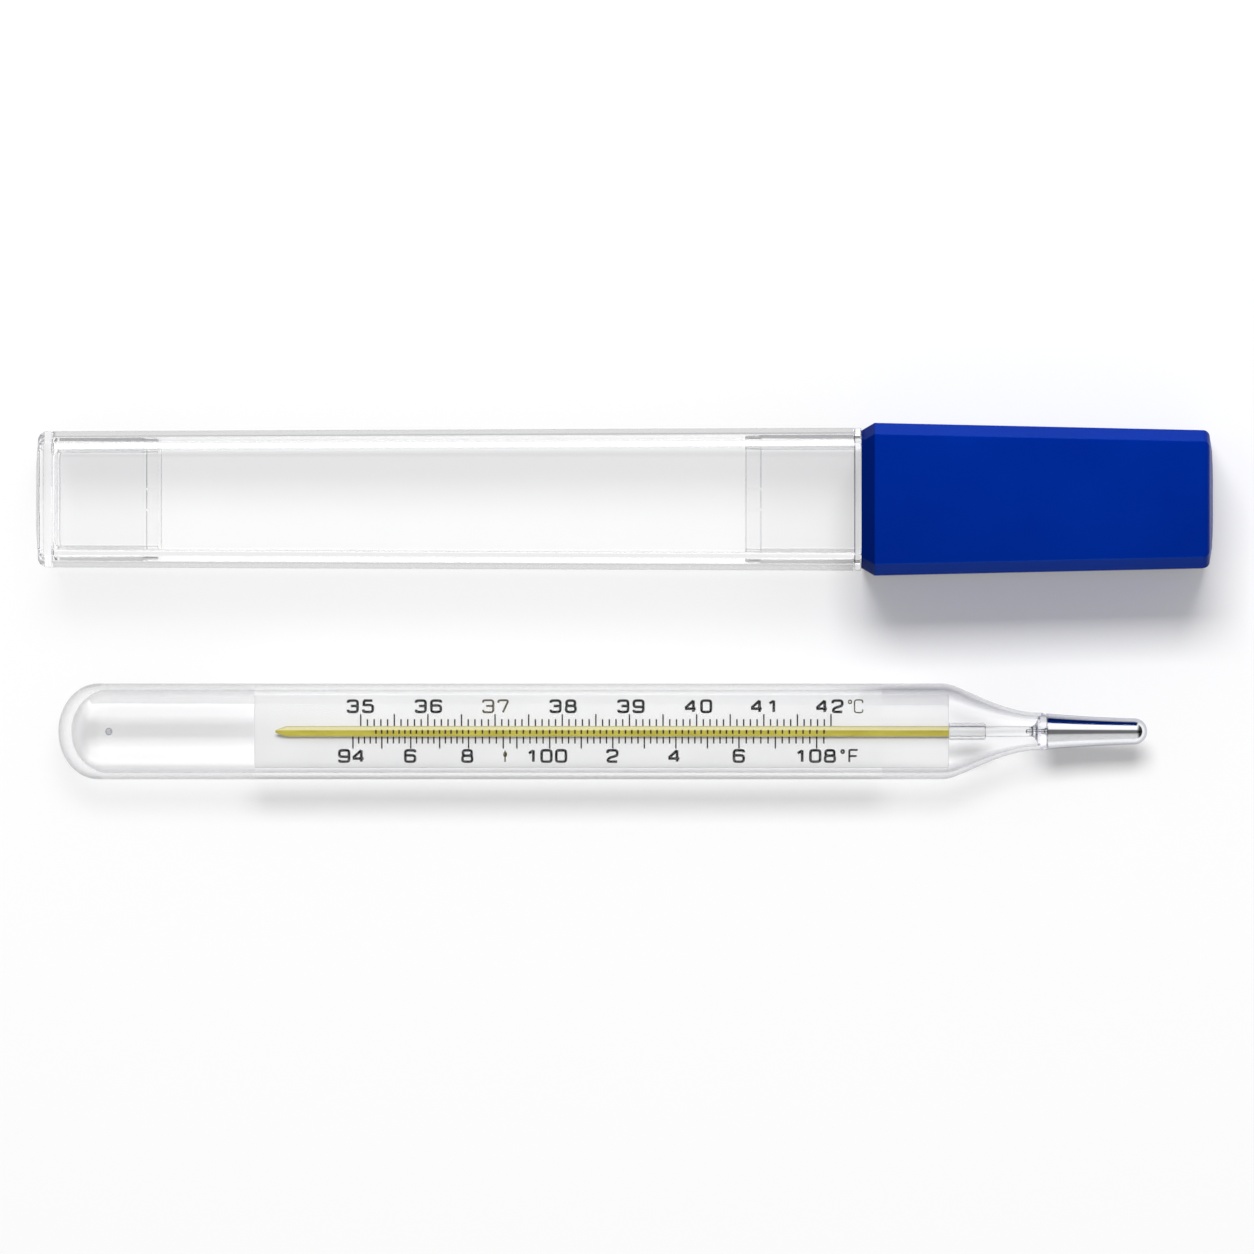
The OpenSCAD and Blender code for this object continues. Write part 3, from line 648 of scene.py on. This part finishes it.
# Mercury: it fills the bulb and wets no wall, but lies so close to the glass that it looks fused to it. At the weld it
# narrows to a funnel that leads into the bore.
funnel_r, funnel_l, thread_r, thread_l = 0.00035, 0.0006, 0.00019, 0.0018
touch, pool_step, pool_round = 0.00002, 0.0002, 0.0003
pool_line = bulb_line(bulb_wall - touch)
pool_line = pool_line[pool_line[:, 0] > weld_at + pool_step]
pool_base = [(weld_at, funnel_r), (weld_at, pool_line[0, 1]), tuple(pool_line[0] + (pool_step, 0))]
pool_profile = np.vstack([[(weld_at - funnel_l, hair), (weld_at - funnel_l, thread_r), (weld_at, funnel_r)],
                          softened(pool_base, pool_round, 8)[1:-1], pool_line[1:]])
pool = skin("mercury_pool", turned(pool_profile, 96), on_thermometer)
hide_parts("mercury_reservoir")
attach(pool, "thermometer")
mercury, tree, shader = blank("liquid_mercury")
film = add(tree, "ShaderNodeTexNoise", Vector=on_piece(tree), Scale=900.0, Detail=3.0)
clean = add(tree, "ShaderNodeMapRange", Value=(film, "Fac"), To_Min=0.02, To_Max=0.06)
put(shader, Base_Color=ramp(tree, (film, "Fac"), (0, (0.84, 0.845, 0.86)), (1, (0.9, 0.905, 0.915))),
    Roughness=(clean, "Result"), Metallic=1)
pool.data.materials.append(mercury)

# Mercury thread: the column in the bore, of the same mercury. Shaken down, it ends in the neck. As the reading rises,
# its tip runs along the bore and the thread grows behind it, while its foot stays in the weld.
thread_foot, thread_tip = weld_at - funnel_l, weld_at - funnel_l - thread_l
thread_start = thread_foot + 0.0002
round_end = np.linspace(0, math.pi / 2, 10)
thread_profile = np.vstack([
    [(thread_start, hair)],
    np.stack([np.linspace(thread_start, thread_tip + thread_r, 80), np.full(80, thread_r)], -1),
    np.stack([thread_tip + thread_r * (1 - np.sin(round_end)), thread_r * np.cos(round_end) + 0.000002], -1)[1:]])
thread = skin("mercury_line", turned(thread_profile, 32), on_thermometer)
thread.data.materials.append(mercury)
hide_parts("mercury_thread")
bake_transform(thread)

# Case tube: clear polystyrene, moulded square inside and out with cut corners, a little wider towards its mouth. The
# whole case leans by half a degree, because its cap is wider than its plug.
case_at, case_lean = (-0.0673716, 0.0116875, 0.0077636), math.radians(0.5735424)
plug_flange, tube_end, cap_at = 0.00195, 0.0937, 0.0945
plug_w, mouth_w, corner_cut = 0.01555, 0.0163, 0.0013
bore_plug, bore_mouth, bore_cut = 0.0133, 0.01405, 0.001
rib_at, rib_w = 0.0012, 0.0002
rib_edges = rib_at + np.array([-rib_w / 2 - hair, -rib_w / 2, rib_w / 2, rib_w / 2 + hair])
# The bevel on a moulded edge, and the size of the loop that a flat end closes to.
arris, pin = 0.0001, 0.00004


def on_case(points):
    """Points given as (along, across, up) from the plugged end of the case, leant up towards the cap and moved
    there."""
    c, s = math.cos(case_lean), math.sin(case_lean)
    return points @ np.array([[c, 0, s], [0, 1, 0], [-s, 0, c]]) + np.array(case_at)


def cut_square(width, cut=corner_cut, edge=0.00012):
    """Points round a square with cut corners, as (across, up). Each of its eight corners is a quadratic curve of the
    given reach. Its eight sides carry equal counts of points, the long ones also where the crush ribs begin and end."""
    half = width / 2
    flat = half - cut
    corners = np.array([(half, -flat), (half, flat), (flat, half), (-flat, half), (-half, flat), (-half, -flat),
                        (-flat, -half), (flat, -half)])
    before, after = np.roll(corners, 1, 0) - corners, np.roll(corners, -1, 0) - corners
    before /= np.linalg.norm(before, axis=1, keepdims=True)
    after /= np.linalg.norm(after, axis=1, keepdims=True)
    u = np.linspace(0, 1, 9)[:, None, None]
    bend = (1 - u) ** 2 * (corners + edge * before) + 2 * u * (1 - u) * corners + u ** 2 * (corners + edge * after)
    last, first = bend[-1], np.roll(bend[0], -1, 0)
    reach = flat - edge
    spread = np.sort(np.concatenate([np.linspace(-1, 1, 13)[1:-1] * reach, rib_edges, -rib_edges])) / reach
    even = np.linspace(-1, 1, len(spread) + 2)[1:-1]
    v = (np.stack([even, spread] * 4, 1)[..., None] + 1) / 2
    v = np.roll(v, -1, 1)
    side = last + (first - last) * v
    return np.concatenate([bend, side]).transpose(1, 0, 2).reshape(-1, 2)


def sections(rows):
    """Loops from rows of (length, outline)."""
    outline = np.array([r[1] for r in rows])
    length = np.array([r[0] for r in rows])[:, None, None] + 0 * outline[..., :1]
    return np.concatenate([length, outline], -1)


tube_rows = [(plug_flange, cut_square(plug_w - 2 * arris)), (plug_flange + arris, cut_square(plug_w)),
             (tube_end - arris, cut_square(mouth_w)), (tube_end, cut_square(mouth_w - 2 * arris)),
             (tube_end, cut_square(bore_mouth, bore_cut)), (plug_flange, cut_square(bore_plug, bore_cut))]
tube = skin("case_square_tube", sections(tube_rows), on_case, ring=True)
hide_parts("case_tube")
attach(tube, "case")
# The plastic comes in two copies, one for the faces on the north side and one for those on the south: on the north
# faces its outline is painted darker, and where light crosses them at a slant they let less of it through, which
# darkens the north wall's shadow inside the case; on the south faces the outline is painted lighter and the shadow
# thrown south is fainter.
for name, seam, rim, edge in (
        ("clear_polystyrene", (0.92, 0.92, 0.925), (0.85, 0.85, 0.86), (0.62, 0.62, 0.63)),
        ("clear_polystyrene_front", (0.99, 0.99, 0.99), (0.98, 0.98, 0.98), (0.88, 0.88, 0.88))):
    tube.data.materials.append(clear(name, (0.995, 0.995, 0.996), ior=1.45, gloss=0.3, seam=seam, rim=rim,
                                     face=(0.985, 0.985, 0.985), edge=edge, size=120.0, depth=0.001, haze=0.02,
                                     start=0.15))
paint(tube, lambda x, y: y < case_at[1])

# End plug: the same clear plastic. Its flange closes the tube and is slightly crowned, with a slot where it was gated;
# its sleeve is pressed into the bore and ends in a thinner lip with crush ribs.
flange_edge, plug_crown, sleeve_wall, press_fit = 0.0008, 0.0003, 0.00055, 0.00006
plug_sleeve, plug_sleeve_w = 0.01215, bore_plug - press_fit
sleeve_cut = bore_cut - sleeve_wall / 2
lip_l, lip_step, lip_slope, lip_edge, lip_draw = 0.0018, 0.00015, 0.00009, 0.00008, 0.00024
rib_inset, rib_slope = 0.00003, 0.00002
slot_w, slot_h, slot_depth = 0.003, 0.006, 0.0012


def slot_shape(width, height):
    """Points round a rectangle, spaced as those of the cut square: its points, squeezed until each reaches the
    rectangle's side by the larger of its two shares of the half widths."""
    outline = cut_square(1)
    share = np.maximum(np.abs(outline[:, 0]), np.abs(outline[:, 1]))
    return outline / share[:, None] * (width / 2, height / 2)


def ribbed(outline, rise):
    """A square lip with two narrow ribs on each side: within half a rib's width of a rib's middle, a point of a flat
    side moves out by the rise."""
    reach = np.abs(outline)
    off = np.abs(reach.min(1) - rib_at)
    out = np.where(off < rib_w / 2 + 0.000004, rise, 0)[:, None]
    return outline + out * np.where(reach == reach.max(1, keepdims=True), np.sign(outline), 0)


def sleeve_rows(foot, way, reach, width):
    """Outside of a sleeve from its foot to the end of its lip, going `way` along the case, and the edge of its bore."""
    lip_at, end = foot + way * (reach - lip_l), foot + way * reach
    full, lip = cut_square(width, bore_cut), cut_square(width - 2 * lip_step, bore_cut)
    rib_end = foot + way * (reach - 0.2 * lip_l)
    return [(foot, full), (lip_at, full), (lip_at + way * lip_slope, ribbed(lip, lip_step - rib_inset)),
            (rib_end, ribbed(lip, lip_step - rib_inset)), (rib_end + way * rib_slope, lip),
            (end - way * lip_edge, lip), (end, cut_square(width - 2 * lip_step - lip_draw, bore_cut)),
            (end, cut_square(width - 2 * sleeve_wall, sleeve_cut))]


plug_bore, foot_r = plug_sleeve_w - 2 * sleeve_wall, 0.0008
foot_curve = [(plug_flange + foot_r * (1 - math.sin(a)), plug_bore - 2 * foot_r * (1 - math.cos(a)))
              for a in np.linspace(0, math.pi / 2, 8)]
plug_rows = [
    (slot_depth, slot_shape(pin, 2 * pin)), (slot_depth, slot_shape(slot_w, slot_h)),
    (2 * hair, slot_shape(slot_w, slot_h)), (0, slot_shape(slot_w + arris, slot_h + arris)),
    (0, cut_square(plug_w * 0.55)), (plug_crown, cut_square(plug_w - 2 * flange_edge)),
    (plug_crown + 0.3 * flange_edge, cut_square(plug_w - 0.9 * flange_edge)),
    (plug_crown + flange_edge, cut_square(plug_w)), (plug_flange - arris, cut_square(plug_w)),
    (plug_flange, cut_square(plug_w - 2 * arris)),
    *sleeve_rows(plug_flange, 1, plug_sleeve, plug_sleeve_w), *[(a, cut_square(w, sleeve_cut)) for a, w in foot_curve],
    (plug_flange, slot_shape(pin, pin))]
plug = skin("case_plug", sections(plug_rows), on_case)
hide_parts("case_end_plug")
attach(plug, "case")
# The sleeve shows faintly through the tube. The flange is thick and seen bare; its greyer tint and darker outline are
# painted shade.
plug_plastic = clear("clear_plug_polystyrene", (0.995, 0.995, 0.996), ior=1.25, gloss=0.3, seam=(0.9, 0.9, 0.91),
                     rim=(0.99, 0.99, 0.99), face=(0.995, 0.995, 0.995), edge=(0.9, 0.9, 0.9), size=160.0,
                     depth=0.003, haze=0.03)
plug.data.materials.append(plug_plastic)
plug.data.materials.append(clear("clear_flange_polystyrene", (0.945, 0.945, 0.95), ior=1.3, gloss=0.5,
                                 seam=(0.8, 0.8, 0.82), rim=(0.8, 0.8, 0.82), face=(0.995, 0.995, 0.995),
                                 edge=(0.9, 0.9, 0.9), size=160.0, depth=0.003, haze=0.03))
paint(plug, lambda x, y: x < case_at[0] + plug_flange - hair)
plug.visible_shadow = False

# Neck: pressed into the other end like the plug. Its thin flange shows between tube and cap, and its spigot carries
# the cap. The spigot comes out bare when the cap is pulled, so it has the look of the tube.
neck_sleeve, spigot, spigot_lead = 0.0125, 0.012, 0.0003
neck_sleeve_w = bore_mouth - (bore_mouth - bore_plug) * neck_sleeve / (tube_end - plug_flange) - press_fit
neck_full, neck_bore = cut_square(neck_sleeve_w, bore_cut), cut_square(neck_sleeve_w - 2 * sleeve_wall, sleeve_cut)
neck_rows = [
    *sleeve_rows(tube_end, -1, neck_sleeve, neck_sleeve_w)[::-1],
    (tube_end, cut_square(mouth_w - 2 * arris)), (tube_end + arris, cut_square(mouth_w)),
    (cap_at - arris, cut_square(mouth_w)), (cap_at, cut_square(mouth_w - 2 * arris)), (cap_at, neck_full),
    (cap_at + spigot - spigot_lead, neck_full), (cap_at + spigot, cut_square(neck_sleeve_w - 4 * arris, bore_cut)),
    (cap_at + spigot, neck_bore)]
neck = skin("case_neck_ring", sections(neck_rows), on_case, ring=True)
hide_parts("case_neck")
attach(neck, "case")
neck.data.materials.append(plug_plastic)
neck.data.materials.append(tube.data.materials[0])
paint(neck, lambda x, y: x > case_at[0] + cap_at + 2 * hair)
neck.visible_shadow = False

# Cap: blue polyethylene, bevelled at the mouth and narrower towards its closed end, pushed on the spigot by hand. It
# is satin, with the faint unevenness of a shrunk moulding and a fine grain.
cap_l, rim_w, cap_w, bevel_l, end_w = 0.04025, 0.0157, 0.01745, 0.0015, 0.0158
cap_round, cap_crown, cap_floor, cap_gap, cap_lead = 0.0008, 0.0004, 0.0018, 0.00002, 0.0003
cap_bore, cap_bore_end = neck_sleeve_w + 0.00012, 0.0129
cap_end, cap_side = cap_at + cap_l, cap_l - cap_round - cap_crown
silhouette = softened([(0, rim_w / 2), (bevel_l, cap_w / 2), (cap_side, end_w / 2)], 0.0001, 5)
turn_in = np.linspace(0, math.pi / 2, 9)[1:]
cap_rows = [
    (cap_end - cap_floor, slot_shape(pin, pin)), (cap_end - cap_floor, cut_square(cap_bore_end, bore_cut)),
    (cap_at + spigot + bevel_l, cut_square(cap_bore, bore_cut)), (cap_at + cap_lead, cut_square(cap_bore, bore_cut)),
    (cap_at + cap_gap, cut_square(cap_bore + 4 * arris, bore_cut)),
    (cap_at + cap_gap, cut_square(rim_w - 2 * arris)), *[(cap_at + a, cut_square(2 * h)) for a, h in silhouette],
    *[(cap_end - cap_round - cap_crown + cap_round * math.sin(a),
       cut_square(end_w - 2 * cap_round * (1 - math.cos(a)))) for a in turn_in],
    (cap_end - 0.3 * cap_crown, cut_square(0.7 * end_w)), (cap_end, cut_square(0.45 * end_w)),
    (cap_end, slot_shape(pin, pin))]
cap = skin("blue_cap", sections(cap_rows), on_case)
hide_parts("case_cap")
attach(cap, "cap")
blue, tree, shader = blank("blue_polyethylene")
where = on_piece(tree)
shrink = add(tree, "ShaderNodeTexNoise", Vector=where, Scale=90.0, Detail=3.0)
blues = ramp(tree, (shrink, "Fac"), (0.3, (0.0, 0.0195, 0.285)), (0.7, (0.0, 0.0235, 0.318)))
grain = add(tree, "ShaderNodeTexNoise", Vector=where, Scale=2200.0, Detail=4.0)
satin = add(tree, "ShaderNodeMapRange", Value=(grain, "Fac"), To_Min=0.28, To_Max=0.4)
relief = add(tree, "ShaderNodeBump", Strength=0.12, Distance=0.00003, Height=(grain, "Fac"))
# Three shares of painted shade darken the blue: towards the south side, away from the light; on the bevel at the mouth;
# and there once more where it is seen through clear plastic, for the unlit inside of the mouth.
away = add(tree, "ShaderNodeSeparateXYZ", Vector=where)
painted_south_shade = add(tree, "ShaderNodeMapRange", Value=(away, "Y"), From_Min=0.003, From_Max=0.0205, To_Min=0.8, To_Max=1.03)
painted_bevel_shade = add(tree, "ShaderNodeMapRange", Value=(away, "X"), From_Min=case_at[0] + cap_at + bevel_l - 0.0001,
            From_Max=case_at[0] + cap_at + bevel_l, To_Min=0.5)
at_mouth = add(tree, "ShaderNodeMapRange", Value=(painted_bevel_shade, "Result"), From_Min=0.5, To_Min=0.25)
path = add(tree, "ShaderNodeLightPath")
unlit = add(tree, "ShaderNodeMapRange", Value=(path, "Is Transmission Ray"), To_Min=1, To_Max=(at_mouth, "Result"))
tone = blues
for share in (painted_south_shade, painted_bevel_shade, unlit):
    tone = mix(tree, "MULTIPLY", 1, tone, (share, "Result"))
put(shader, Base_Color=tone, Roughness=(satin, "Result"), Normal=(relief, "Normal"), Specular_IOR_Level=0.15,
    Specular_Tint=(0.12, 0.52, 1, 1))
cap.data.materials.append(blue)
